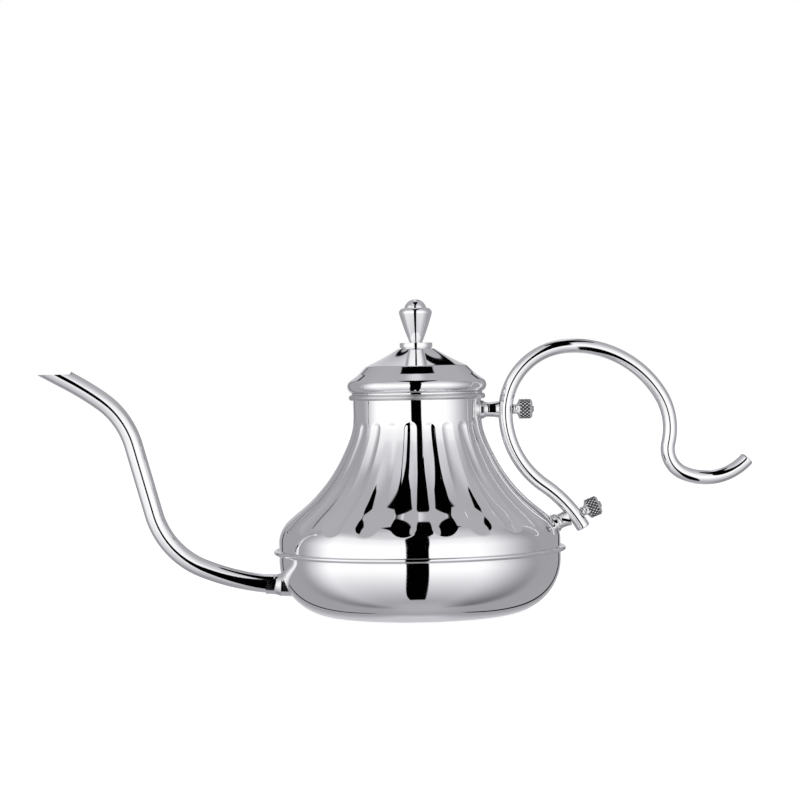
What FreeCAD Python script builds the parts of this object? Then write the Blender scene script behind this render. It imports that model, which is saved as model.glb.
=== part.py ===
"""Gooseneck pour-over kettle in polished stainless steel, millimetres.

A fluted bell over a rounded pan, joined by a rolled seam. A thin tube spout leaves the
pan low down and rises in an S. A bent bar handle is held on two flared standoffs by two
knurled thumb screws, and the lid carries a turned knob.

The origin is the centre of the base, +Z is up, the spout points to -X and the handle
to +X. Outlines are drawn in the XZ plane and spun about the kettle's own axis.
"""
import FreeCAD, Part
import math
import os
from FreeCAD import Vector

# ---- driving dimensions -----------------------------------------------------------
sheet = 0.6                # thickness of the body and lid sheet
body_radius = 60.0
base_flat_radius = 36.7    # the base rests on the rim of this flat
base_dish_radius = 27.0    # inside it the base is dished a little
base_dish_depth = 0.5

seam_height = 27.3         # middle of the rolled seam
seam_reach = 62.3
seam_curl = 0.3            # inner radius of the curl over the bell's flange
seam_bend = 0.5

shoulder_height = 31.3     # where the side starts to turn in
shoulder_radius = 11.6
shoulder_turn = 51.3       # degrees
shoulder_slope = 7.6       # straight stretch between shoulder and bell
bell_radius = 64.7
bell_turn = 31.7
throat_radius = 32.6       # the rest of the turn back to upright
mouth_height = 92.45       # middle of the rolled rim
mouth_curl = 0.6           # inner radius of the rolled rim

flute_count = 22
flute_foot = 36.5          # height of the flutes' lower ends
flute_top = 82.0
flute_half_angle = 5.15    # degrees
flute_depth_share = 0.020  # depth as a share of the radius
rib_rise = 0.5             # the ribs swell this far out of the plain bell
rib_foot_run = 7.0         # over this height at their foot
rib_top_run = 16.0         # and this height at their top
edge_softness = 0.16

spout_radius = 4.0
spout_wall = 0.5
spout_height = 13.6        # where its axis crosses x = -body_radius
spout_rise = 3.4           # degrees above level as it leaves the pan
spout_mouth_height = 104.8
spout_collar_radius = 5.0
spout_collar_reach = 65.8

handle_radius = 3.05
handle_foot = (70.3, 35.0)  # x and z of its lower end
handle_lean = 119.1         # degrees, its direction there, from +X towards +Z

upper_axis_height = 86.4    # axis of the upper standoff and screw
lower_axis_tilt = 22.0      # degrees, the lower one points up and out
lower_axis_start = (58.3, 37.3)

standoff_foot_radius = 3.95
standoff_waist_radius = 3.2
standoff_head_radius = 3.65
stud_radius = 1.5
running_gap = 0.05
screw_neck_radius = 2.05
screw_neck_length = 1.9
screw_head_radius = 4.3
screw_head_length = 6.4
stud_engaged = 5.0
stud_stub = 0.8

skirt_radius = 26.4
skirt_depth = 6.0
lid_base_height = 94.3
collar_radius = 6.96
collar_thickness = 2.5
knob_foot_radius = 2.6
knob_radius = 7.0
knob_top_height = 130.3
knob_cap_radius = 4.7
knob_cap_height = 3.8
knob_screw_radius = 2.0

AXIS = Vector(0, 0, 1)
ORIGIN = Vector(0, 0, 0)


# ---- outlines ---------------------------------------------------------------------
def point(x, z):
    return Vector(x, 0, z)


def walk(start, heading, legs, offset=0.0):
    """Edges of a path in XZ, a list of (kind, ...) legs, moved sideways by offset.

    ("line", length) goes straight; ("arc", radius, turn) turns left by turn degrees,
    right if it is negative. A positive offset lies to the left of the path.
    """
    x, z = start
    angle = math.radians(heading)
    x -= offset * math.sin(angle)
    z += offset * math.cos(angle)
    edges = []
    for leg in legs:
        if leg[0] == "line":
            nx = x + leg[1] * math.cos(angle)
            nz = z + leg[1] * math.sin(angle)
            edges.append(Part.LineSegment(point(x, z), point(nx, nz)).toShape())
            x, z = nx, nz
            continue
        turn = math.radians(leg[2])
        side = 1 if turn > 0 else -1
        radius = leg[1] - side * offset
        cx = x - side * radius * math.sin(angle)
        cz = z + side * radius * math.cos(angle)
        stops = []
        for share in (0.5, 1.0):
            a = angle + share * turn
            stops.append(point(cx + side * radius * math.sin(a), cz - side * radius * math.cos(a)))
        edges.append(Part.Arc(point(x, z), stops[0], stops[1]).toShape())
        x, z = stops[1].x, stops[1].z
        angle += turn
    return edges


def ends(edges):
    return edges[0].Vertexes[0].Point, edges[-1].Vertexes[-1].Point


def sheet_section(start, heading, legs, thickness):
    """The closed outline of a sheet whose outer face follows the path."""
    outer = walk(start, heading, legs)
    inner = walk(start, heading, legs, thickness)
    outer_start, outer_end = ends(outer)
    inner_start, inner_end = ends(inner)
    caps = [Part.LineSegment(outer_end, inner_end).toShape()]
    caps.append(Part.LineSegment(inner_start, outer_start).toShape())
    return Part.Wire(Part.__sortEdges__(outer + inner + caps))


def spin(wire):
    return Part.Face(wire).revolve(ORIGIN, AXIS, 360)


def spin_points(*points):
    """Spin a closed straight-sided outline given as (radius, height) pairs."""
    corners = [point(r, z) for r, z in points]
    return spin(Part.makePolygon(corners + corners[:1]))


def spin_outline(edges):
    return spin(Part.Wire(Part.__sortEdges__(edges)))


def line(a, b):
    return Part.LineSegment(point(*a), point(*b)).toShape()


def bow(a, b, bulge):
    """An arc from a to b, bulging to the left of the way from a to b by bulge."""
    ax, az = a
    bx, bz = b
    length = math.hypot(bx - ax, bz - az)
    mx = (ax + bx) / 2 - bulge * (bz - az) / length
    mz = (az + bz) / 2 + bulge * (bx - ax) / length
    return Part.Arc(point(ax, az), point(mx, mz), point(bx, bz)).toShape()


def rod(base, direction, radius, length):
    return Part.makeCylinder(radius, length, base, direction)


def aim(shape, base, direction):
    """Move a shape built on +Z so that it starts at base and points along direction."""
    moved = shape.copy()
    moved.Placement = FreeCAD.Placement(base, FreeCAD.Rotation(AXIS, direction))
    return moved


def largest(shape):
    return max(shape.Solids, key=lambda solid: solid.Volume)


# ---- bell -------------------------------------------------------------------------
bell_legs = [
    ("arc", shoulder_radius, shoulder_turn),
    ("line", shoulder_slope),
    ("arc", bell_radius, -bell_turn),
    ("arc", throat_radius, bell_turn - shoulder_turn),
]
bell_outer = Part.Wire(walk((body_radius, shoulder_height), 90, bell_legs))
bell_inner = Part.Wire(walk((body_radius, shoulder_height), 90, bell_legs, sheet))
neck_start = bell_outer.Vertexes[-1].Point
neck_radius = neck_start.x


def radius_at(wire, height):
    """The radius of a bell outline at this height."""
    if height >= wire.Vertexes[-1].Point.z:
        return wire.Vertexes[-1].Point.x
    level = Part.LineSegment(point(0, height), point(2 * body_radius, height)).toShape()
    return wire.distToShape(level)[1][0][0].x


def ramp(value):
    value = min(max(value, 0.0), 1.0)
    return value * value * (3 - 2 * value)


def soft_positive(value):
    """max(value, 0) with its corner rounded over edge_softness."""
    if value <= -edge_softness:
        return 0.0
    if value >= edge_softness:
        return value
    return (value + edge_softness) ** 2 / (4 * edge_softness)


def flute_wave(height, angle, radius):
    """How far the bell stands out of its plain outline, angle from a flute's middle."""
    half_width = math.radians(flute_half_angle) * radius
    across = angle / math.radians(flute_half_angle)
    foot_length = 0.75 * half_width
    above = max(0.0, (height - (flute_top - half_width)) / half_width)
    below = max(0.0, (flute_foot + foot_length - height) / foot_length)
    scoop = soft_positive(1 - across ** 2 - above ** 2 - below ** 2)
    swell = ramp((height - flute_foot) / rib_foot_run) * ramp((flute_top - height) / rib_top_run)
    return rib_rise * swell - flute_depth_share * radius * scoop


band_foot = flute_foot - 1.5
band_top = flute_top + 1.5
pitch = 2 * math.pi / flute_count


def flute_face(wire):
    """One pitch of the fluted bell, centred on azimuth 0, as a smooth surface."""
    rows = 44
    columns = 24
    grid = []
    for row in range(rows + 1):
        height = band_foot + (band_top - band_foot) * row / rows
        radius = radius_at(wire, height)
        ring = []
        for column in range(columns + 1):
            angle = pitch * (column / columns - 0.5)
            reach = radius + flute_wave(height, angle, radius)
            ring.append(Vector(reach * math.cos(angle), reach * math.sin(angle), height))
        grid.append(ring)
    surface = Part.BSplineSurface()
    surface.interpolate(grid)
    return surface.toShape()


def fluted_band():
    """The ring of flutes as one solid, cut level at its top and bottom."""
    faces = []
    for wire in (bell_outer, bell_inner):
        first = flute_face(wire)
        for index in range(flute_count):
            face = first.copy()
            face.rotate(ORIGIN, AXIS, index * 360.0 / flute_count)
            faces.append(face)
    for height in (band_foot, band_top):
        rings = []
        for face in faces:
            for edge in face.Edges:
                if all(abs(v.Point.z - height) < 1e-6 for v in edge.Vertexes) and edge.Length > 1:
                    rings.append(edge)
        outer = rings[:flute_count]
        inner = rings[flute_count:]
        loops = [Part.Wire(Part.__sortEdges__(outer)), Part.Wire(Part.__sortEdges__(inner))]
        faces.append(Part.Face(loops, "Part::FaceMakerBullseye"))
    shell = Part.Shell(faces)
    shell.sewShape()
    solid = Part.Solid(shell)
    if solid.Volume < 0:
        solid.reverse()
    return solid


# The bell is one drawn sheet: flange, side, shoulder, flutes, neck and rolled rim.
flange_legs = [
    ("line", seam_reach - sheet - seam_curl - 0.1 - body_radius - seam_bend),
    ("arc", seam_bend, -90),
    ("line", shoulder_height - seam_height - sheet / 2 - seam_bend),
] + bell_legs + [
    ("line", mouth_height - neck_start.z),
    ("arc", mouth_curl, -250),
]
flange_start = (seam_reach - sheet - seam_curl - 0.1, seam_height + sheet / 2)


def upper_shell():
    plain = spin(sheet_section(flange_start, 180, flange_legs, sheet))
    lower = plain.common(Part.makeBox(200, 200, 100, Vector(-100, -100, band_foot - 100)))
    upper = plain.common(Part.makeBox(200, 200, 100, Vector(-100, -100, band_top)))
    return fluted_band().fuse([lower, upper], 1e-3).removeSplitter()


# ---- pan --------------------------------------------------------------------------
curl_outer = seam_curl + sheet
dish_turn = 20.0
dish_radius = base_dish_depth / (2 * (1 - math.cos(math.radians(dish_turn))))
dish_run = 2 * dish_radius * math.sin(math.radians(dish_turn))
pan_corner = body_radius - base_flat_radius
bowl_legs = [
    ("line", base_dish_radius - dish_run),
    ("arc", dish_radius, -dish_turn),
    ("arc", dish_radius, dish_turn),
    ("line", base_flat_radius - base_dish_radius),
    ("arc", pan_corner, 90),
    ("line", seam_height - sheet / 2 - sheet - seam_bend - pan_corner),
]
pan_curl_legs = [
    ("arc", seam_bend, -90),
    ("line", seam_reach - curl_outer - body_radius - seam_bend),
    ("arc", curl_outer, 180),
    ("line", 0.5),
]
pan_start = (0.0, base_dish_depth)


def bowl(offset):
    """Everything inside one face of the pan's wall, as a solid."""
    edges = walk(pan_start, 0, bowl_legs, offset)
    first, last = ends(edges)
    edges.append(line((last.x, last.z), (0, last.z)))
    edges.append(line((0, last.z), (0, first.z)))
    return spin_outline(edges)


def lower_pan():
    whole = spin(sheet_section(pan_start, 0, bowl_legs + pan_curl_legs, sheet))
    return whole.cut(tube(spout_start, spout_heading, spout_legs, spout_radius))


# ---- bent tubes and bars ----------------------------------------------------------
def tube(start, heading, legs, radius):
    """A round bar of this radius along a path, of straight and bent lengths."""
    pieces = []
    angle = heading
    for edge, leg in zip(walk(start, heading, legs), legs):
        begin = edge.Vertexes[0].Point
        direction = Vector(math.cos(math.radians(angle)), 0, math.sin(math.radians(angle)))
        disc = Part.Face(Part.Wire(Part.makeCircle(radius, begin, direction)))
        if leg[0] == "line":
            pieces.append(disc.extrude(direction * leg[1]))
            continue
        side = 1 if leg[2] > 0 else -1
        left = Vector(-direction.z, 0, direction.x)
        pieces.append(disc.revolve(begin + left * (side * leg[1]), Vector(0, -side, 0), abs(leg[2])))
        angle += leg[2]
    return pieces[0].fuse(pieces[1:]).removeSplitter() if pieces[1:] else pieces[0]


spout_heading = 180 - spout_rise
spout_lead = 6.0            # straight length that runs back into the pan
spout_start = (
    -body_radius - spout_lead * math.cos(math.radians(spout_heading)),
    spout_height - spout_lead * math.sin(math.radians(spout_heading)),
)
spout_legs = [
    ("line", spout_lead),
    ("arc", 98.8, -19.3),
    ("arc", 35.8, -52.0),
    ("line", 30.4),
    ("arc", 35.6, 38.6),
    ("arc", 129.0, 7.5),
    ("line", 25.0),
]


def spout_tube():
    outside = tube(spout_start, spout_heading, spout_legs, spout_radius)
    bore = tube(spout_start, spout_heading, spout_legs, spout_radius - spout_wall)
    above = Part.makeBox(100, 40, 40, Vector(-3 * body_radius - 40, -20, spout_mouth_height))
    return largest(outside.cut(bore).cut(above).cut(bowl(sheet)))


def spout_collar():
    """The welded flare where the spout leaves the pan."""
    direction = Vector(math.cos(math.radians(spout_heading)), 0, math.sin(math.radians(spout_heading)))
    start = point(*spout_start)
    length = (spout_collar_reach - abs(start.x)) / abs(direction.x)
    tip_radius = spout_radius + 0.35
    flare_end = length - 3.6
    edges = [
        line((0, 0), (spout_collar_radius, 0)),
        line((spout_collar_radius, 0), (spout_collar_radius, length - 6.4)),
        bow((spout_collar_radius, length - 6.4), (tip_radius, flare_end), 0.15),
        line((tip_radius, flare_end), (tip_radius, length)),
        line((tip_radius, length), (0, length)),
        line((0, length), (0, 0)),
    ]
    flare = aim(spin_outline(edges), start, direction)
    outside = tube(spout_start, spout_heading, spout_legs, spout_radius)
    return largest(flare.cut(outside).cut(bowl(0.0)))


# ---- handle, standoffs and thumb screws -------------------------------------------
handle_legs = [
    ("arc", 56.5, 25.4),
    ("arc", 38.3, -55.4),
    ("arc", 28.1, -85.8),
    ("arc", 43.7, -62.6),
    ("arc", 27.7, -44.8),
    ("arc", 11.4, 80.6),
    ("arc", 23.9, 72.0),
]
handle_line = Part.Wire(walk(handle_foot, handle_lean, handle_legs))
lower_direction = Vector(
    math.cos(math.radians(lower_axis_tilt)), 0, math.sin(math.radians(lower_axis_tilt))
)
upper_direction = Vector(1, 0, 0)
upper_base = point(neck_radius, upper_axis_height)
lower_base = point(*lower_axis_start)


def handle_crossing(base, direction):
    """Where this axis meets the middle of the handle's bar."""
    axis = Part.LineSegment(base, base + direction * 25).toShape()
    return handle_line.distToShape(axis)[1][0][0]


upper_crossing = handle_crossing(upper_base, upper_direction)
lower_crossing = handle_crossing(lower_base, lower_direction)


def handle_bar():
    """The bent bar, its ends rounded, with two holes spot-faced for the screw heads."""
    bar = tube(handle_foot, handle_lean, handle_legs, handle_radius)
    tips = (handle_line.Vertexes[0].Point, handle_line.Vertexes[-1].Point)
    rims = []
    for edge in bar.Edges:
        if min(edge.CenterOfMass.distanceToPoint(tip) for tip in tips) < 0.01:
            rims.append(edge)
    bar = bar.makeFillet(0.6, rims)
    hole = stud_radius + running_gap
    seat = screw_neck_radius + 0.5
    for crossing, direction in (
        (upper_crossing, upper_direction),
        (lower_crossing, lower_direction),
    ):
        bar = bar.cut(rod(crossing - direction * 8, direction, hole, 16))
        bar = bar.cut(rod(crossing + direction * handle_radius, direction, seat, 3))
    return bar


def standoff(base, direction, crossing, bell):
    """A flared post from the bell to the handle, bored and tapped for the stud."""
    reach = base.distanceToPoint(crossing) - handle_radius + 0.15
    root = -2.0
    edges = [
        line((0, root), (standoff_foot_radius, root)),
        line((standoff_foot_radius, root), (standoff_foot_radius, 0.8)),
        bow((standoff_foot_radius, 0.8), (standoff_waist_radius, 0.45 * reach), 0.35),
        bow((standoff_waist_radius, 0.45 * reach), (standoff_head_radius, reach), 0.12),
        line((standoff_head_radius, reach), (0, reach)),
        line((0, reach), (0, root)),
    ]
    post = aim(spin_outline(edges), base, direction)
    bar = tube(handle_foot, handle_lean, handle_legs, handle_radius)
    depth = stud_engaged + 1.0
    bore = rod(base + direction * (reach - depth), direction, stud_radius + running_gap, depth + 1)
    return largest(post.cut(bar).cut(bore).cut(bell))



def screw_head(direction, crossing):
    """The turned head: neck, cone and the cylinder that carries the knurl."""
    cone_start = screw_neck_length
    cone_end = cone_start + 0.95
    end = cone_start + screw_head_length
    edges = [
        line((stud_radius, running_gap), (screw_neck_radius + 0.3, running_gap)),
        bow((screw_neck_radius + 0.3, running_gap), (screw_neck_radius + 0.2, cone_start), 0.3),
        line((screw_neck_radius + 0.2, cone_start), (screw_head_radius, cone_end)),
        line((screw_head_radius, cone_end), (screw_head_radius, end - 0.8)),
        line((screw_head_radius, end - 0.8), (screw_head_radius - 0.9, end)),
        line((screw_head_radius - 0.9, end), (stud_radius, end)),
        line((stud_radius, end), (stud_radius, running_gap)),
    ]
    return aim(spin_outline(edges), crossing + direction * handle_radius, direction)


def screw_stud(direction, crossing):
    """The threaded stud, fixed in the head, with its end standing proud of the head."""
    tip = -2 * handle_radius - stud_engaged
    end = screw_neck_length + screw_head_length
    chamfer = 0.4
    stud = spin_points(
        (0, tip),
        (stud_radius - chamfer, tip),
        (stud_radius, tip + chamfer),
        (stud_radius, end + stud_stub - chamfer),
        (stud_radius - chamfer, end + stud_stub),
        (0, end + stud_stub),
    )
    return aim(stud, crossing + direction * handle_radius, direction)


# ---- lid --------------------------------------------------------------------------
lid_bulge_radius = 3.3
lid_bulge_middle = (26.4, 97.3)
lid_start_turn = 75.0
lid_start = (
    lid_bulge_middle[0] + lid_bulge_radius * math.cos(math.radians(lid_start_turn)),
    lid_bulge_middle[1] - lid_bulge_radius * math.sin(math.radians(lid_start_turn)),
)
lid_legs = [
    ("arc", lid_bulge_radius, lid_start_turn),
    ("arc", 2.9, 54.5),
    ("line", 4.1),
    ("arc", 3.0, -10.5),
    ("line", 3.9),
    ("arc", 2.5, 22),
    ("arc", 108.0, -8),
    ("arc", 1.0, 32),
]
lid_edge = ends(walk(lid_start, 90 - lid_start_turn, lid_legs))[1]
lid_top = lid_edge.z
lid_hole_radius = knob_screw_radius + 0.1


def lid_shell():
    legs = lid_legs + [("line", lid_edge.x - lid_hole_radius)]
    whole = spin(sheet_section(lid_start, 90 - lid_start_turn, legs, sheet))
    return whole.common(Part.makeBox(100, 100, 50, Vector(-50, -50, lid_base_height)))


def lid_skirt():
    """The ring under the lid: its flange rests on the rim, its wall goes into the neck."""
    inside = skirt_radius - sheet
    flange = lid_base_height - sheet
    flange_radius = lid_bulge_middle[0] + 1.5
    return spin_points(
        (inside, flange - skirt_depth),
        (skirt_radius, flange - skirt_depth),
        (skirt_radius, flange),
        (flange_radius, flange),
        (flange_radius, lid_base_height),
        (inside, lid_base_height),
    )


collar_top = lid_top + collar_thickness


def knob_collar():
    return spin_points(
        (lid_hole_radius, lid_top),
        (collar_radius - 0.7, lid_top),
        (collar_radius, lid_top + 0.7),
        (collar_radius, collar_top - 0.2),
        (collar_radius - 0.2, collar_top),
        (lid_hole_radius, collar_top),
    )


def knob():
    belly = collar_top + 12.2
    socket_top = collar_top + 7.0
    cap_socket = knob_top_height - 2.6
    edges = [
        line((knob_screw_radius, collar_top), (knob_foot_radius, collar_top)),
        bow((knob_foot_radius, collar_top), (knob_radius - 0.1, belly), -0.2),
        bow((knob_radius - 0.1, belly), (knob_radius - 1.8, knob_top_height), -0.75),
        line((knob_radius - 1.8, knob_top_height), (1.5, knob_top_height)),
        line((1.5, knob_top_height), (1.5, cap_socket)),
        line((1.5, cap_socket), (0, cap_socket)),
        line((0, cap_socket), (0, socket_top)),
        line((0, socket_top), (knob_screw_radius, socket_top)),
        line((knob_screw_radius, socket_top), (knob_screw_radius, collar_top)),
    ]
    return spin_outline(edges)


def knob_cap():
    """A domed button whose stem is pressed into the knob."""
    apex = knob_top_height + knob_cap_height
    sphere = (knob_cap_radius ** 2 + knob_cap_height ** 2) / (2 * knob_cap_height)
    half_chord = math.hypot(knob_cap_radius, knob_cap_height) / 2
    bulge = sphere - math.sqrt(sphere ** 2 - half_chord ** 2)
    stem_foot = knob_top_height - 2.5
    edges = [
        line((0, stem_foot), (1.5, stem_foot)),
        line((1.5, stem_foot), (1.5, knob_top_height)),
        line((1.5, knob_top_height), (knob_cap_radius, knob_top_height)),
        bow((knob_cap_radius, knob_top_height), (0, apex), -bulge),
        line((0, apex), (0, stem_foot)),
    ]
    return spin_outline(edges)


washer_top = lid_top - sheet
washer_thickness = 0.6


def knob_washer():
    return spin_points(
        (lid_hole_radius, washer_top - washer_thickness),
        (lid_edge.x - 1.4, washer_top - washer_thickness),
        (lid_edge.x - 1.4, washer_top),
        (lid_hole_radius, washer_top),
    )


def knob_screw():
    """The pan-head screw that holds the knob, with a cross slot."""
    seat = washer_top - washer_thickness
    head_radius = 3.6
    head_height = 2.2
    tip = collar_top + 6.0
    edges = [
        line((0, seat - head_height), (head_radius - 1.2, seat - head_height)),
        bow((head_radius - 1.2, seat - head_height), (head_radius, seat - 0.9), -0.3),
        line((head_radius, seat - 0.9), (head_radius, seat)),
        line((head_radius, seat), (knob_screw_radius, seat)),
        line((knob_screw_radius, seat), (knob_screw_radius, tip)),
        line((knob_screw_radius, tip), (0, tip)),
        line((0, tip), (0, seat - head_height)),
    ]
    screw = spin_outline(edges)
    for size in ((3.4, 0.8), (0.8, 3.4)):
        corner = Vector(-size[0] / 2, -size[1] / 2, seat - head_height - 0.1)
        screw = screw.cut(Part.makeBox(size[0], size[1], 1.3, corner))
    return screw


def build():
    bell = upper_shell()
    return {
        "upper_shell": bell,
        "lower_pan": lower_pan(),
        "spout_tube": spout_tube(),
        "spout_collar": spout_collar(),
        "upper_standoff": standoff(upper_base, upper_direction, upper_crossing, bell),
        "lower_standoff": standoff(lower_base, lower_direction, lower_crossing, bell),
        "handle_bar": handle_bar(),
        "upper_screw_head": screw_head(upper_direction, upper_crossing),
        "upper_screw_stud": screw_stud(upper_direction, upper_crossing),
        "lower_screw_head": screw_head(lower_direction, lower_crossing),
        "lower_screw_stud": screw_stud(lower_direction, lower_crossing),
        "lid_shell": lid_shell(),
        "lid_skirt": lid_skirt(),
        "knob_collar": knob_collar(),
        "knob": knob(),
        "knob_cap": knob_cap(),
        "knob_washer": knob_washer(),
        "knob_screw": knob_screw(),
    }


os.makedirs("parts", exist_ok=True)
for name, shape in build().items():
    shape.exportStep("parts/" + name + ".step")
    state = "valid" if shape.isValid() else "not valid"
    print(name, state, len(shape.Solids), "solid, volume", round(shape.Volume, 1))
print("upper screw crosses the handle at", upper_crossing)
print("lower screw crosses the handle at", lower_crossing)
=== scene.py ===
"""Looks for the gooseneck kettle: mirror-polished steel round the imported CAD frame.

Shapes are worked out in millimetres in the CAD frame and scaled to metres on the way
into Blender: the kettle's axis is Z, the spout points to -X and the handle to +X.
"""
import math
import bmesh
import bpy
from mathutils import Matrix, Vector


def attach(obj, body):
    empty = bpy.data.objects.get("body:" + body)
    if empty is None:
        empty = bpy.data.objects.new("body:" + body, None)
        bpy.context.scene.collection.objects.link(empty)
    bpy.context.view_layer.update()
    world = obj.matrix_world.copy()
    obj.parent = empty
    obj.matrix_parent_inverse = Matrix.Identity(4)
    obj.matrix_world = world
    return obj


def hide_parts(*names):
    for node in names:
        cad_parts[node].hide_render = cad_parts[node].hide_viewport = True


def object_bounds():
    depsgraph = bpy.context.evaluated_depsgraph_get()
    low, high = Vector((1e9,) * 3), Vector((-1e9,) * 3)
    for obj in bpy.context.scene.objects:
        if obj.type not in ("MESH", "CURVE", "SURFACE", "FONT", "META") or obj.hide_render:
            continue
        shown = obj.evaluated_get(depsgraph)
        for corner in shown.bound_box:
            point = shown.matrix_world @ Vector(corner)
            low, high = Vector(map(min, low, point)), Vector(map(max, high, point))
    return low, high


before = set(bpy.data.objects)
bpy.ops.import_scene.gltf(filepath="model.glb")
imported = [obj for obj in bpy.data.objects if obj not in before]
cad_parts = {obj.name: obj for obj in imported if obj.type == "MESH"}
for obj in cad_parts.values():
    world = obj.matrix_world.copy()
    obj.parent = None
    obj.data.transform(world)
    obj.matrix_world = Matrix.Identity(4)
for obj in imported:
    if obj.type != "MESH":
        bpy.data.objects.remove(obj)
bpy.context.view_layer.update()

MM = 0.001
merge_distance = 1e-6      # metres; points closer than this after a cut are one point

# ---- dimensions shared with the CAD, in millimetres --------------------------------
sheet = 0.6
body_radius = 60.0
base_flat_radius = 36.7
base_dish_radius = 27.0
base_dish_depth = 0.5
seam_height = 27.3
seam_reach = 62.29
seam_curl = 0.3
seam_bend = 0.5
shoulder_height = 31.3
shoulder_radius = 11.6
shoulder_turn = 51.3       # degrees
shoulder_slope = 7.6
bell_radius = 64.7
bell_turn = 31.7
throat_radius = 32.6
mouth_height = 92.45
mouth_curl = 0.6
flute_count = 22
flute_foot = 36.5
flute_top = 82.0
flute_half_angle = math.radians(5.15)
flute_depth_share = 0.020
rib_rise = 0.5
rib_foot_run = 7.0
rib_top_run = 16.0
edge_softness = 0.1
spout_radius = 4.0
spout_bore = 3.5
spout_height = 13.6        # where its axis crosses x = -body_radius
spout_mouth_height = 104.8
handle_radius = 3.05
handle_foot = (70.3, 35.0)
handle_lean = 119.1        # degrees, from +X towards +Z
upper_axis_height = 86.4
lower_axis_tilt = math.radians(22.0)
stud_radius = 1.5
thread_pitch = 0.5
thread_depth = 0.28
screw_neck_radius = 2.05
screw_neck_length = 1.9
screw_head_radius = 4.3
screw_head_length = 6.4
knurl_count = 16
knurl_depth = 0.42
knurl_pitch = 1.7
lid_base_height = 94.3
skirt_radius = 26.4
knob_radius = 7.0
knob_top_height = 130.3
knob_cap_radius = 4.7
knob_cap_height = 3.8
knob_screw_radius = 2.0
collar_radius = 6.96
collar_thickness = 2.5


# ---- paths and meshes -------------------------------------------------------------
def walk(start, heading, legs, offset=0.0, step=1.0, fan=4.0):
    """Points (x, z) along a path of ("line", length) and ("arc", radius, turn) legs.

    Turns are in degrees, left positive. A positive offset lies to the left of the path.
    Lines are cut into lengths of about step, arcs into turns of about fan degrees.
    """
    x, z = start
    angle = math.radians(heading)
    x -= offset * math.sin(angle)
    z += offset * math.cos(angle)
    points = [(x, z)]
    for leg in legs:
        if leg[0] == "line":
            count = max(1, round(leg[1] / step))
            for k in range(1, count + 1):
                run = leg[1] * k / count
                points.append((x + run * math.cos(angle), z + run * math.sin(angle)))
        else:
            turn = math.radians(leg[2])
            side = 1 if turn > 0 else -1
            radius = leg[1] - side * offset
            cx = x - side * radius * math.sin(angle)
            cz = z + side * radius * math.cos(angle)
            count = max(2, round(abs(leg[2]) / fan), round(leg[1] * abs(turn) / step))
            for k in range(1, count + 1):
                a = angle + turn * k / count
                points.append((cx + side * radius * math.sin(a), cz - side * radius * math.cos(a)))
            angle += turn
        x, z = points[-1]
    return points


def sheet_loop(start, heading, legs, thickness, step=1.0, fan=4.0, inner_step=None):
    """The closed outline of a sheet whose outer face follows the path, and its outer count."""
    outer = walk(start, heading, legs, 0.0, step, fan)
    inner = walk(start, heading, legs, thickness, inner_step or step, fan)
    return outer + inner[::-1], len(outer)


def make_object(name, verts, faces, body, materials, replaces=(), smooth_angle=40):
    mesh = bpy.data.meshes.new(name)
    mesh.from_pydata([tuple(c * MM for c in v) for v in verts], [], faces)
    mesh.validate()
    for material in materials:
        mesh.materials.append(material)
    mesh.shade_smooth()
    obj = bpy.data.objects.new(name, mesh)
    bpy.context.scene.collection.objects.link(obj)
    mark_sharp(mesh, smooth_angle)
    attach(obj, body)
    if replaces:
        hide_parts(*replaces)
    return obj


def mark_sharp(mesh, degrees):
    bm = bmesh.new()
    bm.from_mesh(mesh)
    bmesh.ops.recalc_face_normals(bm, faces=bm.faces)
    limit = math.radians(degrees)
    for edge in bm.edges:
        edge.smooth = len(edge.link_faces) == 2 and edge.calc_face_angle(0.0) < limit
    bm.to_mesh(mesh)
    bm.free()


def lathe(loop, segments, wave=None):
    """Spin a closed outline of (radius, height) points about Z.

    wave(radius, height, angle) may move a point in or out. Points on the axis become
    one vertex. Returns vertices, faces, and for each face the outline edge it came from.
    """
    verts, rows = [], []
    for radius, height in loop:
        if radius < 1e-6:
            rows.append([len(verts)] * segments)
            verts.append((0.0, 0.0, height))
            continue
        row = []
        for k in range(segments):
            angle = 2 * math.pi * k / segments
            reach = radius + (wave(radius, height, angle) if wave else 0.0)
            row.append(len(verts))
            verts.append((reach * math.cos(angle), reach * math.sin(angle), height))
        rows.append(row)
    faces, source = [], []
    for i in range(len(loop)):
        a, b = rows[i], rows[(i + 1) % len(loop)]
        if a[0] == a[1] and b[0] == b[1]:
            continue
        for k in range(segments):
            n = (k + 1) % segments
            corners = [a[k], a[n], b[n], b[k]]
            faces.append([c for j, c in enumerate(corners) if c != corners[j - 1]])
            source.append(i)
    return verts, faces, source


def turn_to(direction, base, verts):
    """Turn a shape made on +Z so that it points along direction from base."""
    turn = Vector((0, 0, 1)).rotation_difference(Vector(direction)).to_matrix().to_4x4()
    matrix = Matrix.Translation(Vector(base)) @ turn
    return [tuple(matrix @ Vector(v)) for v in verts]


def turned(name, loop, body, material, node, segments=128, axis=None, wave=None):
    """A lathe piece that stands for one CAD node, about Z or about another axis.

    Its attribute groove tells how far, in millimetres, wave took each point inwards.
    """
    verts, faces, source = lathe(loop, segments, wave)
    plain = lathe(loop, segments, None)[0]
    depths = [math.hypot(a[0], a[1]) - math.hypot(b[0], b[1]) for a, b in zip(plain, verts)]
    if axis:
        verts = turn_to(axis[1], axis[0], verts)
    obj = make_object(name, verts, faces, body, [material], (node,))
    groove = obj.data.attributes.new("groove", "FLOAT", "POINT")
    groove.data.foreach_set("value", depths)
    return obj


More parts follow.
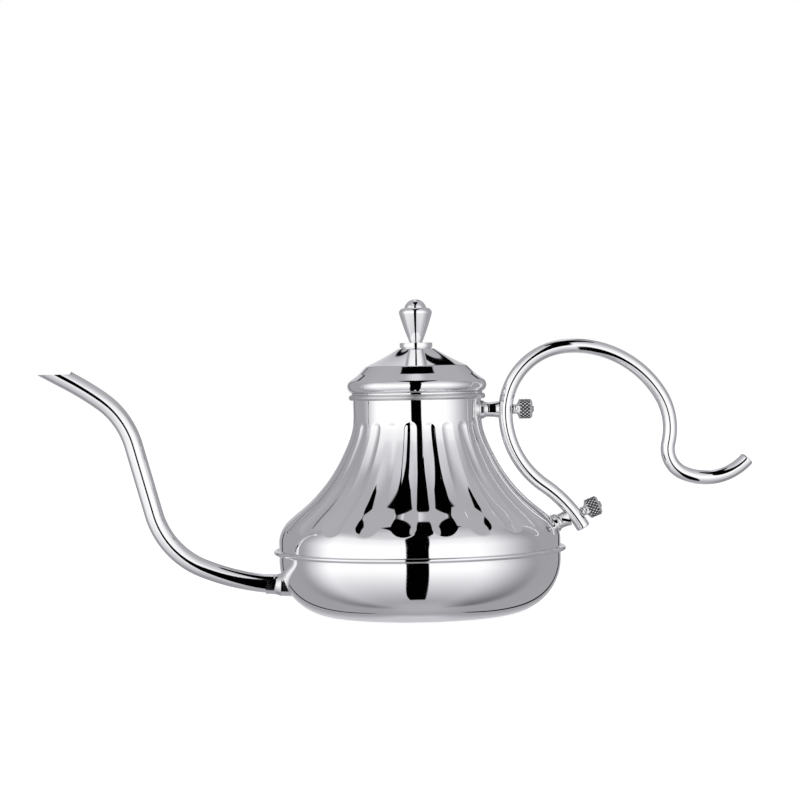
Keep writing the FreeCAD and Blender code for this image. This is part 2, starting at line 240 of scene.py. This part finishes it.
def bow(a, b, bulge, count=8):
    """Points of an arc from a to b, bulging left of the way by bulge, without its start."""
    length = math.hypot(b[0] - a[0], b[1] - a[1])
    turn = 4 * math.atan2(2 * bulge, length)
    radius = length / 2 / math.sin(turn / 2)
    heading = math.atan2(b[1] - a[1], b[0] - a[0]) + turn / 2
    points = []
    for k in range(1, count + 1):
        t = heading - turn * k / count
        points.append((
            a[0] - radius * (math.sin(t) - math.sin(heading)),
            a[1] + radius * (math.cos(t) - math.cos(heading)),
        ))
    return points


def path_frames(points):
    """Centre, tangent and left normal (in XZ) at every point of a path."""
    frames = []
    for i, (x, z) in enumerate(points):
        ax, az = points[max(i - 1, 0)]
        bx, bz = points[min(i + 1, len(points) - 1)]
        length = math.hypot(bx - ax, bz - az)
        tx, tz = (bx - ax) / length, (bz - az) / length
        frames.append(((x, z), (tx, tz), (-tz, tx)))
    return frames


def ring(frame_at, radius, segments):
    (x, z), _, (nx, nz) = frame_at
    verts = []
    for k in range(segments):
        a = 2 * math.pi * k / segments
        verts.append((
            x + radius * math.cos(a) * nx,
            radius * math.sin(a),
            z + radius * math.cos(a) * nz,
        ))
    return verts


def skin(rings, loop=False, caps=False):
    """Faces between rings of equal count, joined end to end if loop, capped if caps."""
    segments = len(rings[0])
    verts = [v for one in rings for v in one]
    faces = []
    spans = len(rings) if loop else len(rings) - 1
    for i in range(spans):
        a, b = i * segments, ((i + 1) % len(rings)) * segments
        for k in range(segments):
            n = (k + 1) % segments
            faces.append((a + k, a + n, b + n, b + k))
    if caps:
        faces.append(tuple(range(segments))[::-1])
        last = (len(rings) - 1) * segments
        faces.append(tuple(range(last, last + segments)))
    return verts, faces


def cut_out(obj, pieces):
    """Cut closed shapes, each given as vertices and faces, out of a piece, and keep it closed."""
    for verts, faces in pieces:
        mesh = bpy.data.meshes.new("cutter")
        mesh.from_pydata([tuple(c * MM for c in v) for v in verts], [], faces)
        cutter = bpy.data.objects.new("cutter", mesh)
        bpy.context.scene.collection.objects.link(cutter)
        mark_sharp(mesh, 40)
        cut = obj.modifiers.new("cut", "BOOLEAN")
        cut.operation = "DIFFERENCE"
        cut.solver = "EXACT"
        cut.object = cutter
        seen = obj.evaluated_get(bpy.context.evaluated_depsgraph_get())
        obj.data = bpy.data.meshes.new_from_object(seen)
        obj.modifiers.clear()
        bpy.data.objects.remove(cutter)
    bm = bmesh.new()
    bm.from_mesh(obj.data)
    bmesh.ops.remove_doubles(bm, verts=bm.verts, dist=merge_distance)
    bmesh.ops.dissolve_degenerate(bm, edges=bm.edges, dist=merge_distance)
    bm.to_mesh(obj.data)
    bm.free()
    mark_sharp(obj.data, 40)


def rod(base, direction, radius, length, segments=48):
    verts, faces, source = lathe([(0, 0), (radius, 0), (radius, length), (0, length)], segments)
    return turn_to(direction, base, verts), faces


# ---- materials --------------------------------------------------------------------
class Nodes:
    """Short names for building a node tree."""

    def __init__(self, tree):
        self.tree = tree
        tree.nodes.clear()

    def add(self, kind, inputs=(), **settings):
        node = self.tree.nodes.new(kind)
        for key, value in settings.items():
            setattr(node, key, value)
        for key, value in dict(inputs).items():
            if isinstance(value, bpy.types.NodeSocket):
                self.tree.links.new(value, node.inputs[key])
            else:
                node.inputs[key].default_value = value
        return node

    def math(self, operation, *values):
        node = self.add("ShaderNodeMath", operation=operation)
        for i, value in enumerate(values):
            if isinstance(value, bpy.types.NodeSocket):
                self.tree.links.new(value, node.inputs[i])
            else:
                node.inputs[i].default_value = value
        return node.outputs[0]

    def remap(self, value, low, high, to_low, to_high, smooth=False):
        kind = "SMOOTHSTEP" if smooth else "LINEAR"
        inputs = {"Value": value, 1: low, 2: high, 3: to_low, 4: to_high}
        return self.add("ShaderNodeMapRange", inputs, interpolation_type=kind).outputs[0]

    def blend(self, share, a, b):
        """Colour a where share is 0, b where it is 1."""
        return self.add("ShaderNodeMix", {0: share, 6: a, 7: b}, data_type="RGBA").outputs[2]

    def mix(self, share, a, b):
        """a where share is 0, b where it is 1."""
        return self.math("ADD", a, self.math("MULTIPLY", share, self.math("SUBTRACT", b, a)))


def steel(name, tint, roughness, smudge, scratches, waviness, grain=0.0, groove_shade=0.0):
    """Polished or satin steel: uneven colour, smears, fine scratches and a slight wave.

    grain roughens it along the scratches, and groove_shade paints shade into the bottoms of its grooves as
    a near-black colour.
    """
    material = bpy.data.materials.new(name)
    material.use_nodes = True
    n = Nodes(material.node_tree)
    place = n.add("ShaderNodeTexCoord").outputs["Object"]
    cloud = n.add("ShaderNodeTexNoise", {"Vector": place, "Scale": 38.0, "Detail": 4.0}).outputs[0]
    smear = n.add("ShaderNodeTexNoise", {"Vector": place, "Scale": 110.0, "Detail": 6.0}).outputs[0]
    stretch = n.add("ShaderNodeMapping", {"Vector": place, "Scale": (900.0, 900.0, 9000.0)}).outputs[0]
    lines = n.add("ShaderNodeTexNoise", {"Vector": stretch, "Scale": 1.0, "Detail": 3.0}).outputs[0]
    dark = tuple(c * 0.955 for c in tint) + (1.0,)
    colour = n.blend(n.remap(cloud, 0.3, 0.7, 0.0, 1.0), dark, tint + (1.0,))
    # painted shade: the bottoms of the grooves are coloured near black by how deep they are
    if groove_shade:
        depth = n.add("ShaderNodeAttribute", attribute_name="groove").outputs["Fac"]
        painted_shade = n.remap(depth, 0.12, 0.3, 0.0, groove_shade)
        colour = n.blend(painted_shade, colour, (0.02, 0.02, 0.02, 1.0))
    rough = n.remap(smear, 0.35, 0.75, roughness, roughness + smudge)
    if grain:
        rough = n.math("ADD", rough, n.remap(lines, 0.3, 0.7, -grain, grain))
    waves = n.add("ShaderNodeTexNoise", {"Vector": place, "Scale": 60.0, "Detail": 1.0}).outputs[0]
    height = n.math("ADD", n.math("MULTIPLY", waves, waviness), n.math("MULTIPLY", lines, scratches))
    bump = n.add("ShaderNodeBump", {"Height": height, "Strength": 1.0, "Distance": 0.001}).outputs[0]
    shader = n.add("ShaderNodeBsdfPrincipled", {
        "Base Color": colour,
        "Metallic": 1.0,
        "Roughness": rough,
        "Normal": bump,
    })
    out = n.add("ShaderNodeOutputMaterial")
    n.tree.links.new(shader.outputs[0], out.inputs[0])
    return material


mirror = steel("mirror_steel", (0.93, 0.93, 0.94), 0.02, 0.035, 0.0004, 0.004)
tube_steel = steel("tube_steel", (0.92, 0.92, 0.93), 0.03, 0.04, 0.0006, 0.002)
turned_steel = steel("turned_steel", (0.95, 0.95, 0.955), 0.03, 0.04, 0.0002, 0.001)
# the knurled heads get painted shade, near black, in the bottoms of their grooves
knurl_steel = steel("knurl_steel", (0.86, 0.86, 0.87), 0.05, 0.06, 0.0005, 0.0005, groove_shade=0.95)
post_steel = steel("post_steel", (0.86, 0.86, 0.87), 0.05, 0.05, 0.0002, 0.001)
weld_steel = steel("weld_steel", (0.86, 0.86, 0.87), 0.06, 0.12, 0.003, 0.4)
satin = steel("satin_steel", (0.74, 0.74, 0.75), 0.3, 0.1, 0.004, 0.004, grain=0.08)
screw_steel = steel("screw_steel", (0.68, 0.67, 0.66), 0.24, 0.12, 0.004, 0.003, grain=0.05)

# ---- pan --------------------------------------------------------------------------
curl_outer = seam_curl + sheet
pan_corner = body_radius - base_flat_radius
dish_turn = 20.0
dish_bend = base_dish_depth / (2 * (1 - math.cos(math.radians(dish_turn))))
dish_run = 2 * dish_bend * math.sin(math.radians(dish_turn))
pan_legs = [
    ("line", base_dish_radius - dish_run),
    ("arc", dish_bend, -dish_turn),
    ("arc", dish_bend, dish_turn),
    ("line", base_flat_radius - base_dish_radius),
    ("arc", pan_corner, 90),
    ("line", seam_height - sheet / 2 - sheet - seam_bend - pan_corner),
    ("arc", seam_bend, -90),
    ("line", seam_reach - curl_outer - body_radius - seam_bend),
    ("arc", curl_outer, 180),
    ("line", 0.5),
]
pan_loop, pan_outer = sheet_loop((0.0, base_dish_depth), 0, pan_legs, sheet, step=1.2, fan=8)
verts, faces, source = lathe(pan_loop, 360)
pan = make_object("pan", verts, faces, "kettle", [mirror, satin], ("lower_pan",))
for polygon, edge in zip(pan.data.polygons, source):
    polygon.material_index = 1 if edge >= pan_outer else 0

# ---- bell -------------------------------------------------------------------------
flange_start = (seam_reach - sheet - seam_curl - 0.1, seam_height + sheet / 2)
side_legs = [
    ("arc", shoulder_radius, shoulder_turn),
    ("line", shoulder_slope),
    ("arc", bell_radius, -bell_turn),
    ("arc", throat_radius, bell_turn - shoulder_turn),
]
neck_start = walk((body_radius, shoulder_height), 90, side_legs)[-1]
bell_legs = [
    ("line", flange_start[0] - body_radius - seam_bend),
    ("arc", seam_bend, -90),
    ("line", shoulder_height - seam_height - sheet / 2 - seam_bend),
] + side_legs + [
    ("line", mouth_height - neck_start[1]),
    ("arc", mouth_curl, -250),
]


def ramp(value):
    value = min(max(value, 0.0), 1.0)
    return value * value * (3 - 2 * value)


def soft_positive(value):
    if value <= -edge_softness:
        return 0.0
    if value >= edge_softness:
        return value
    return (value + edge_softness) ** 2 / (4 * edge_softness)


def flutes(radius, height, angle):
    """How far the bell stands out of its plain outline: scooped flutes between round ribs."""
    if not flute_foot - 1.5 < height < flute_top + 1.5:
        return 0.0
    pitch = 2 * math.pi / flute_count
    angle = (angle + pitch / 2) % pitch - pitch / 2
    half_width = flute_half_angle * radius
    across = angle / flute_half_angle
    foot_length = 0.75 * half_width
    above = max(0.0, (height - (flute_top - half_width)) / half_width)
    below = max(0.0, (flute_foot + foot_length - height) / foot_length)
    scoop = soft_positive(1 - across ** 2 - above ** 2 - below ** 2)
    swell = ramp((height - flute_foot) / rib_foot_run) * ramp((flute_top - height) / rib_top_run)
    return rib_rise * swell - flute_depth_share * radius * scoop


bell_loop, bell_outer = sheet_loop(flange_start, 180, bell_legs, sheet, step=0.6, fan=10, inner_step=1.2)
verts, faces, source = lathe(bell_loop, flute_count * 30, flutes)
bell = make_object("bell", verts, faces, "kettle", [mirror, satin], ("upper_shell",))
for polygon, edge in zip(bell.data.polygons, source):
    polygon.material_index = 1 if edge >= bell_outer else 0

# ---- spout ------------------------------------------------------------------------
spout_heading = 176.6
spout_lead = 6.0
spout_start = (
    -body_radius - spout_lead * math.cos(math.radians(spout_heading)),
    spout_height - spout_lead * math.sin(math.radians(spout_heading)),
)
spout_legs = [
    ("line", spout_lead),
    ("arc", 98.8, -19.3),
    ("arc", 35.8, -52.0),
    ("line", 30.4),
    ("arc", 35.6, 38.6),
    ("arc", 129.0, 7.5),
]
spout_path = walk(spout_start, spout_heading, spout_legs, step=1.5, fan=3)


def tube_rings(radius, segments, tip_steps=10):
    """Rings along the spout, the last ones leaning over to end level at the mouth."""
    rings = [ring(f, radius, segments) for f in path_frames(spout_path)]
    tx, tz = path_frames(spout_path)[-1][1]
    start = rings[-1]
    for k in range(1, tip_steps + 1):
        share = k / tip_steps
        row = []
        for x, y, z in start:
            run = (spout_mouth_height - z) / tz
            row.append((x + share * run * tx, y, z + share * run * tz))
        rings.append(row)
    return rings


segments = 72
verts, faces = skin(tube_rings(spout_radius, segments) + tube_rings(spout_bore, segments)[::-1], loop=True)
spout = make_object("spout", verts, faces, "kettle", [tube_steel], ("spout_tube",))
bowl = walk((0.0, base_dish_depth), 0, pan_legs[:6], sheet)
verts, faces, source = lathe(bowl + [(0.0, bowl[-1][1])], 180)
cut_out(spout, [(verts, faces)])
spout_way = (math.cos(math.radians(spout_heading)), 0, math.sin(math.radians(spout_heading)))
cut_out(pan, [rod((spout_start[0], 0, spout_start[1]), spout_way, spout_radius, 12, 72)])

# ---- handle -----------------------------------------------------------------------
handle_legs = [
    ("arc", 56.5, 25.4),
    ("arc", 38.3, -55.4),
    ("arc", 28.1, -85.8),
    ("arc", 43.7, -62.6),
    ("arc", 27.7, -44.8),
    ("arc", 11.4, 80.6),
    ("arc", 23.9, 72.0),
]
handle_path = walk(handle_foot, handle_lean, handle_legs, step=1.2, fan=3)
frames = path_frames(handle_path)
end_round = 0.6


def bar_end(at, inward):
    """Rings that round the edge of the bar's flat end."""
    (x, z), (tx, tz), normal = at
    rings = []
    for k in range(5):
        a = math.pi / 2 * k / 4
        depth = end_round * (1 - math.cos(a))
        reach = handle_radius - end_round * (1 - math.sin(a))
        centre = (x + inward * tx * depth, z + inward * tz * depth)
        rings.append(ring((centre, (tx, tz), normal), reach, segments))
    return rings


body_rings = [ring(f, handle_radius, segments) for f in frames[1:-1]]
first_end = bar_end(frames[0], 1)
last_end = bar_end(frames[-1], -1)
verts, faces = skin(first_end + body_rings + last_end[::-1], caps=True)
handle = make_object("handle", verts, faces, "kettle", [tube_steel], ("handle_bar",))

# ---- thumb screws -----------------------------------------------------------------
# each one's axis: where it crosses the middle of the bar, and the way it points
upper_axis = (Vector((37.726, 0, upper_axis_height)), Vector((1, 0, 0)))
lower_way = Vector((math.cos(lower_axis_tilt), 0, math.sin(lower_axis_tilt)))
lower_axis = (Vector((66.676, 0, 40.684)), lower_way)
head_start = screw_neck_length
head_end = screw_neck_length + screw_head_length
knurl_start = head_start + 0.95
knurl_end = head_end - 0.8


def peak(value):
    """A zigzag between 0 at whole numbers and 1 halfway."""
    return 1 - abs(2 * (value % 1.0) - 1)


def knurl(radius, height, angle):
    """Two crossing sets of V grooves that leave small pyramids standing."""
    if radius < screw_head_radius - 0.01:
        return 0.0
    around = knurl_count * angle / (2 * math.pi)
    along = height / knurl_pitch
    fade = ramp(min(height - knurl_start, knurl_end - height) / 0.35)
    return -knurl_depth * fade * (1 - min(peak(around + along), peak(around - along)))


def thread(radius, height, angle):
    if radius < stud_radius - 0.01:
        return 0.0
    return -thread_depth * (1 - peak(height / thread_pitch - angle / (2 * math.pi)))


def steps(start, end, count):
    return [start + (end - start) * k / count for k in range(1, count)]


head_loop = [(stud_radius, 0.05), (screw_neck_radius + 0.3, 0.05)]
head_loop += bow((screw_neck_radius + 0.3, 0.05), (screw_neck_radius + 0.2, head_start), 0.3)
head_loop += [(screw_head_radius - 0.12, knurl_start - 0.06), (screw_head_radius, knurl_start)]
head_loop += [(screw_head_radius, z) for z in steps(knurl_start, knurl_end, 52)]
head_loop += [(screw_head_radius, knurl_end), (screw_head_radius - 0.9, head_end), (stud_radius, head_end)]
stud_tip = -2 * handle_radius - 5.0
stud_end = head_end + 0.8
stud_loop = [(0, stud_tip), (stud_radius - 0.4, stud_tip), (stud_radius, stud_tip + 0.4)]
stud_loop += [(stud_radius, z) for z in steps(stud_tip + 0.4, stud_end - 0.4, 280)]
stud_loop += [(stud_radius, stud_end - 0.4), (stud_radius - 0.4, stud_end), (0, stud_end)]
for place, (crossing, way) in (("upper", upper_axis), ("lower", lower_axis)):
    axis = (crossing + way * handle_radius, way)
    head_node = place + "_screw_head"
    stud_node = place + "_screw_stud"
    turned(
        place + "_head", head_loop, place + "_head", knurl_steel, head_node,
        segments=knurl_count * 18, axis=axis, wave=knurl,
    )
    turned(
        place + "_stud", stud_loop, place + "_stud", screw_steel, stud_node,
        segments=24, axis=axis, wave=thread,
    )
    seat = rod(crossing + way * handle_radius, way, screw_neck_radius + 0.5, 3)
    hole = rod(crossing - way * 8, way, stud_radius + 0.05, 16)
    cut_out(handle, [hole, seat])

# ---- lid and knob -----------------------------------------------------------------
bulge_radius = 3.3
bulge_middle = (26.4, 97.3)
lid_legs = [
    ("arc", 2.9, 54.5),
    ("line", 4.1),
    ("arc", 3.0, -10.5),
    ("line", 3.9),
    ("arc", 2.5, 22),
    ("arc", 108.0, -8),
    ("arc", 1.0, 32),
]


def bulge_start(turn):
    """Where the lid's path starts if it turns this much before it is upright."""
    a = math.radians(turn)
    return bulge_middle[0] + bulge_radius * math.cos(a), bulge_middle[1] - bulge_radius * math.sin(a)


foot_turn = math.degrees(math.asin((bulge_middle[1] - lid_base_height) / bulge_radius))
outer_legs = [("arc", bulge_radius, foot_turn)] + lid_legs
inner_legs = [("arc", bulge_radius, 75)] + lid_legs
outer = walk(bulge_start(foot_turn), 90 - foot_turn, outer_legs, step=0.6)
inner = walk(bulge_start(75), 15, inner_legs, sheet, step=0.9)
lid_top = outer[-1][1]
hole_radius = knob_screw_radius + 0.1
lid_loop = outer + [(hole_radius, lid_top), (hole_radius, lid_top - sheet)] + inner[::-1]
lid_loop.append((inner[0][0] + 0.1, lid_base_height))
verts, faces, source = lathe(lid_loop, 240)
lid = make_object("lid", verts, faces, "lid", [mirror, satin], ("lid_shell",))
for polygon, edge in zip(lid.data.polygons, source):
    polygon.material_index = 1 if edge > len(outer) else 0

skirt_loop = [
    (skirt_radius - sheet, 87.7),
    (skirt_radius, 87.7),
    (skirt_radius, 93.7),
    (bulge_middle[0] + 1.4, 93.7),
    (bulge_middle[0] + 1.5, 93.8),
    (bulge_middle[0] + 1.5, lid_base_height),
    (skirt_radius - sheet, lid_base_height),
]
turned("skirt", skirt_loop, "lid", mirror, "lid_skirt", segments=240)

collar_top = lid_top + collar_thickness
collar_loop = [
    (hole_radius, lid_top),
    (collar_radius - 0.7, lid_top),
    (collar_radius, lid_top + 0.7),
    (collar_radius, collar_top - 0.25),
    (collar_radius - 0.07, collar_top - 0.07),
    (collar_radius - 0.25, collar_top),
    (hole_radius, collar_top),
]
turned("collar", collar_loop, "lid", turned_steel, "knob_collar")

belly = (knob_radius - 0.1, collar_top + 12.2)
knob_loop = [(knob_screw_radius, collar_top), (2.6, collar_top)]
knob_loop += bow(knob_loop[-1], belly, -0.2, 16)
knob_loop += bow(belly, (knob_radius - 1.8, knob_top_height), -0.75, 12)
knob_loop += [(1.5, knob_top_height), (1.5, knob_top_height - 2.6), (0, knob_top_height - 2.6)]
knob_loop += [(0, collar_top + 7.0), (knob_screw_radius, collar_top + 7.0)]
turned("knob_body", knob_loop, "lid", turned_steel, "knob")

cap_top = (0, knob_top_height + knob_cap_height)
cap_sphere = (knob_cap_radius ** 2 + knob_cap_height ** 2) / (2 * knob_cap_height)
cap_chord = math.hypot(knob_cap_radius, knob_cap_height) / 2
cap_bulge = cap_sphere - math.sqrt(cap_sphere ** 2 - cap_chord ** 2)
cap_loop = [(0, knob_top_height - 2.5), (1.5, knob_top_height - 2.5), (1.5, knob_top_height)]
cap_loop += [(knob_cap_radius, knob_top_height)]
cap_loop += bow(cap_loop[-1], cap_top, -cap_bulge, 14)
turned("cap", cap_loop, "lid", turned_steel, "knob_cap")

# ---- surroundings -----------------------------------------------------------------
# Reflections see a studio that is a brightness for each direction: azimuth is 0 towards
# the front and positive to the right, height is 0 level with the table. The camera itself
# sees plain white in its place. The studio's edges are placed for the front view.
scene = bpy.context.scene
scene.view_settings.view_transform = "Standard"
world = bpy.data.worlds.new("studio")
scene.world = world
world.use_nodes = True
n = Nodes(world.node_tree)
direction = n.add("ShaderNodeSeparateXYZ", {0: n.add("ShaderNodeTexCoord").outputs["Generated"]})
dx, dy, dz = direction.outputs
degrees = 180 / math.pi
azimuth = n.math("MULTIPLY", n.math("ARCTAN2", dx, n.math("MULTIPLY", dy, -1.0)), degrees)
height = n.math("MULTIPLY", n.math("ARCSINE", dz), degrees)
spread = n.math("ABSOLUTE", azimuth)


def band(value, middle, half, soft):
    """1 within half of middle, falling smoothly to 0 over soft."""
    away = n.math("SUBTRACT", n.math("ABSOLUTE", n.math("SUBTRACT", value, middle)), half)
    return n.remap(away, 0.0, soft, 1, 0, smooth=True)


def both(*masks):
    product = masks[0]
    for mask in masks[1:]:
        product = n.math("MULTIPLY", product, mask)
    return product


is_right = n.math("GREATER_THAN", azimuth, 0.0)

# grey sides, a ceiling that is lighter in front, and a pale wall behind
ceiling = n.remap(dy, -0.6, 0.1, 0.8, 0.66, smooth=True)
level = n.mix(n.remap(height, 15, 50, 0, 1, smooth=True), 0.61, ceiling)
behind = both(n.remap(spread, 158, 176, 0, 1, smooth=True), n.remap(height, -70, -55, 0, 1, smooth=True))
level = n.mix(behind, level, n.remap(height, -30, 30, 0.76, 0.82))

# a thin dark edge at each side, further round the higher it is
edge_middle = n.mix(is_right, n.remap(height, -60, 0, 151, 154), n.remap(height, -60, 0, 150, 156))
edge_middle = n.math("ADD", edge_middle, n.remap(height, 0, 30, 0, 9))
edge_half = n.mix(is_right, 0.5, n.remap(height, 10, 50, 1.0, 2.2))
edge_line = band(n.math("SUBTRACT", spread, edge_middle), 0.0, edge_half, 1.6)
edge_line = both(edge_line, band(height, 0.0, 56.0, 8.0))
level = n.mix(edge_line, level, 0.04)

# the two soft boxes, brightest around eye level, with soft outer edges
left_box = n.remap(azimuth, -75, -122, 1.0, 0.6, smooth=True)
right_box = n.remap(azimuth, 42, 115, 1.0, 0.57, smooth=True)
box_level = n.mix(is_right, left_box, right_box)
rise = both(n.remap(height, 10, 40, 1.0, 0.9), n.remap(height, -85, -5, 0.55, 1.0))
box_level = n.math("MULTIPLY", box_level, rise)
inside = both(n.remap(azimuth, -124, -100, 0, 1, smooth=True), n.remap(azimuth, 95, 117, 1, 0, smooth=True))
inside = both(inside, n.remap(height, 34, 50, 1, 0, smooth=True))
level = n.mix(inside, level, box_level)

# a pale table straight below
level = n.mix(n.remap(height, -84, -64, 1, 0, smooth=True), level, 0.66)

# the dark gap between them, and the dark opening overhead that it leads into
gap_turn = n.math("POWER", n.math("DIVIDE", n.math("ABSOLUTE", height), 60.0), 2.0)
gap_left = n.remap(gap_turn, 0, 1, -12.8, -19.0)
gap_right = n.remap(height, 0, 45, 5.0, 7.0)
gap = both(
    n.remap(n.math("SUBTRACT", azimuth, gap_left), -0.6, 0.6, 0, 1, smooth=True),
    n.remap(n.math("SUBTRACT", azimuth, gap_right), -0.6, 0.6, 1, 0, smooth=True),
    n.remap(height, -70, -66, 0, 1, smooth=True),
    n.remap(height, 66, 70, 1, 0, smooth=True),
)
narrowing = n.remap(dy, -0.6, -0.2, 0.3, 1)
above = both(
    band(n.math("DIVIDE", n.math("SUBTRACT", dx, 0.015), narrowing), 0.0, 0.27, 0.03),
    band(dy, -0.26, 0.36, 0.02),
    n.math("GREATER_THAN", dz, 0.0),
)
level = n.mix(n.math("MAXIMUM", gap, above), level, 0.02)

seen = n.math("POWER", n.math("MAXIMUM", level, 0.0), 2.2)
camera_ray = n.add("ShaderNodeLightPath").outputs["Is Camera Ray"]
strength = n.mix(camera_ray, n.math("MULTIPLY", seen, 1.12), 1.0)
cool = n.math("MULTIPLY", n.remap(level, 0.75, 1.0, 1, 0), n.math("SUBTRACT", 1.0, camera_ray))
colour = n.blend(cool, (1, 1, 1, 1), (0.99, 0.98, 1.035, 1))
background = n.add("ShaderNodeBackground", {"Color": colour, "Strength": strength})
out = n.add("ShaderNodeOutputWorld")
n.tree.links.new(background.outputs[0], out.inputs[0])

# ---- floor ------------------------------------------------------------------------
floor_mesh = bpy.data.meshes.new("floor")
reach = 6.0
floor_corners = [(-reach, -reach, 0), (reach, -reach, 0), (reach, reach, 0), (-reach, reach, 0)]
floor_mesh.from_pydata(floor_corners, [], [(0, 1, 2, 3)])
floor = bpy.data.objects.new("floor", floor_mesh)
scene.collection.objects.link(floor)
floor.location.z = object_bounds()[0].z - 0.0002
floor.visible_glossy = False    # reflections see the studio's pale table instead
floor_material = bpy.data.materials.new("pale_floor")
floor_material.use_nodes = True
n = Nodes(floor_material.node_tree)
diffuse = n.add("ShaderNodeBsdfDiffuse", {"Color": (0.9, 0.9, 0.9, 1)})
glow = n.add("ShaderNodeEmission", {"Color": (1, 1, 1, 1), "Strength": 0.7})
glowing = n.add("ShaderNodeAddShader")
n.tree.links.new(diffuse.outputs[0], glowing.inputs[0])
n.tree.links.new(glow.outputs[0], glowing.inputs[1])
out = n.add("ShaderNodeOutputMaterial")
n.tree.links.new(glowing.outputs[0], out.inputs[0])
floor_mesh.materials.append(floor_material)

# ---- camera -----------------------------------------------------------------------
distance = 1.003
around_axis = math.radians(2.0)
camera_data = bpy.data.cameras.new("camera")
camera_data.lens = 105.75
camera_data.sensor_width = 36.0
camera = bpy.data.objects.new("camera", camera_data)
scene.collection.objects.link(camera)
camera.location = (-distance * math.sin(around_axis), -distance * math.cos(around_axis), 0.103)
yaw = math.radians(0.415)
pitch = math.radians(-0.674)
roll = math.radians(-1.1)
turn = Matrix.Rotation(yaw - around_axis, 3, "Z")
turn @= Matrix.Rotation(math.pi / 2 + pitch, 3, "X")
turn @= Matrix.Rotation(roll, 3, "Z")
camera.rotation_euler = turn.to_euler()
scene.camera = camera

# ---- looks of the nodes shown as they are -----------------------------------------
looks = {
    "spout_collar": weld_steel,
    "upper_standoff": post_steel,
    "lower_standoff": post_steel,
    "knob_washer": satin,
    "knob_screw": screw_steel,
}
for name, material in looks.items():
    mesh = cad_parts[name].data
    if mesh.materials:
        mesh.materials[0] = material
    else:
        mesh.materials.append(material)
